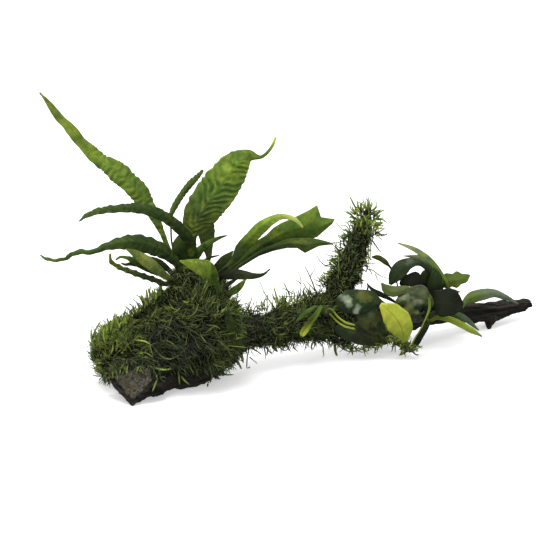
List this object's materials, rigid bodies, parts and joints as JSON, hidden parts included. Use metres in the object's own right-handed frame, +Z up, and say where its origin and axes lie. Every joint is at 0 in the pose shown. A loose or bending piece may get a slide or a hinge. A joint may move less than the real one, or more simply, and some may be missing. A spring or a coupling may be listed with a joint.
{
  "type": "java fern on driftwood",
  "caption": "Mossy driftwood branch with an upright fork, carrying long ribbed java fern leaves on its thick end and a cluster of oval leaves further along.",
  "frame": {"origin": "on the ground below the middle of the object's bounding box", "axes": "+X along the wood from the thick sawn stump to the thin end, +Y away from the front, +Z up"},
  "size_m": [0.5138, 0.2654, 0.2915],
  "materials": {
    "oval_leaf": "dark glossy oval leaf",
    "lime_leaf": "yellow-green leaf",
    "rhizome": "knobbly green-brown creeping stem",
    "bark": "dark rough waterlogged wood",
    "fern_leaf": "thin ribbed green leaf",
    "moss": "fine green moss strands"
  },
  "bodies": {
    "root": {"anubias_leaf_black": "oval_leaf", "anubias_leaf_by_fork": "oval_leaf", "anubias_leaf_dark_left": "oval_leaf", "anubias_leaf_dark_low": "oval_leaf", "anubias_leaf_dark_neck": "oval_leaf", "anubias_leaf_dark_point": "oval_leaf", "anubias_leaf_glossy_front": "oval_leaf", "anubias_leaf_green_right": "oval_leaf", "anubias_leaf_grey_behind": "oval_leaf", "anubias_leaf_grey_low": "oval_leaf", "anubias_leaf_hooked": "oval_leaf", "anubias_leaf_lime": "lime_leaf", "anubias_leaf_lime_low": "lime_leaf", "anubias_leaf_long_grey": "oval_leaf", "anubias_leaf_mottled": "oval_leaf", "anubias_leaf_pale_left": "oval_leaf", "anubias_leaf_pale_tip_up": "oval_leaf", "anubias_leaf_shaded": "oval_leaf", "anubias_leaf_short_tongue": "oval_leaf", "anubias_leaf_small_shaded": "oval_leaf", "anubias_leaf_strap": "oval_leaf", "anubias_leaf_tiny_right": "oval_leaf", "anubias_leaf_tongue": "lime_leaf", "anubias_rhizome_left": "rhizome", "anubias_rhizome_right": "rhizome", "anubias_rhizome_small": "rhizome", "anubias_stem_lower": "lime_leaf", "anubias_stem_upper": "lime_leaf", "driftwood_branch": "bark", "driftwood_right_fork": "bark", "driftwood_stump": "bark", "driftwood_upright_fork": "bark", "fern_leaf_arching_right": "fern_leaf", "fern_leaf_broad_ribbed": "fern_leaf", "fern_leaf_curled_right": "fern_leaf", "fern_leaf_dark_upright": "fern_leaf", "fern_leaf_folded_front": "fern_leaf", "fern_leaf_forked": "fern_leaf", "fern_leaf_low_dark": "fern_leaf", "fern_leaf_low_green": "fern_leaf", "fern_leaf_low_wavy": "fern_leaf", "fern_leaf_lower_arch": "fern_leaf", "fern_leaf_lower_lobed": "fern_leaf", "fern_leaf_pale_small": "fern_leaf", "fern_leaf_short_dark": "fern_leaf", "fern_leaf_slim_upright": "fern_leaf", "fern_leaf_small_behind": "fern_leaf", "fern_leaf_small_right": "fern_leaf", "fern_leaf_tall_left": "fern_leaf", "fern_leaf_upper_arch": "fern_leaf", "fern_leaf_upper_lobed": "fern_leaf", "fern_leaf_young": "fern_leaf", "fern_rhizome": "rhizome", "fern_stalk_thin": "fern_leaf", "moss_mound": "moss", "moss_on_branch": "moss", "moss_on_upright_fork": "moss", "moss_under_leaves": "moss"}
  },
  "joints": []
}
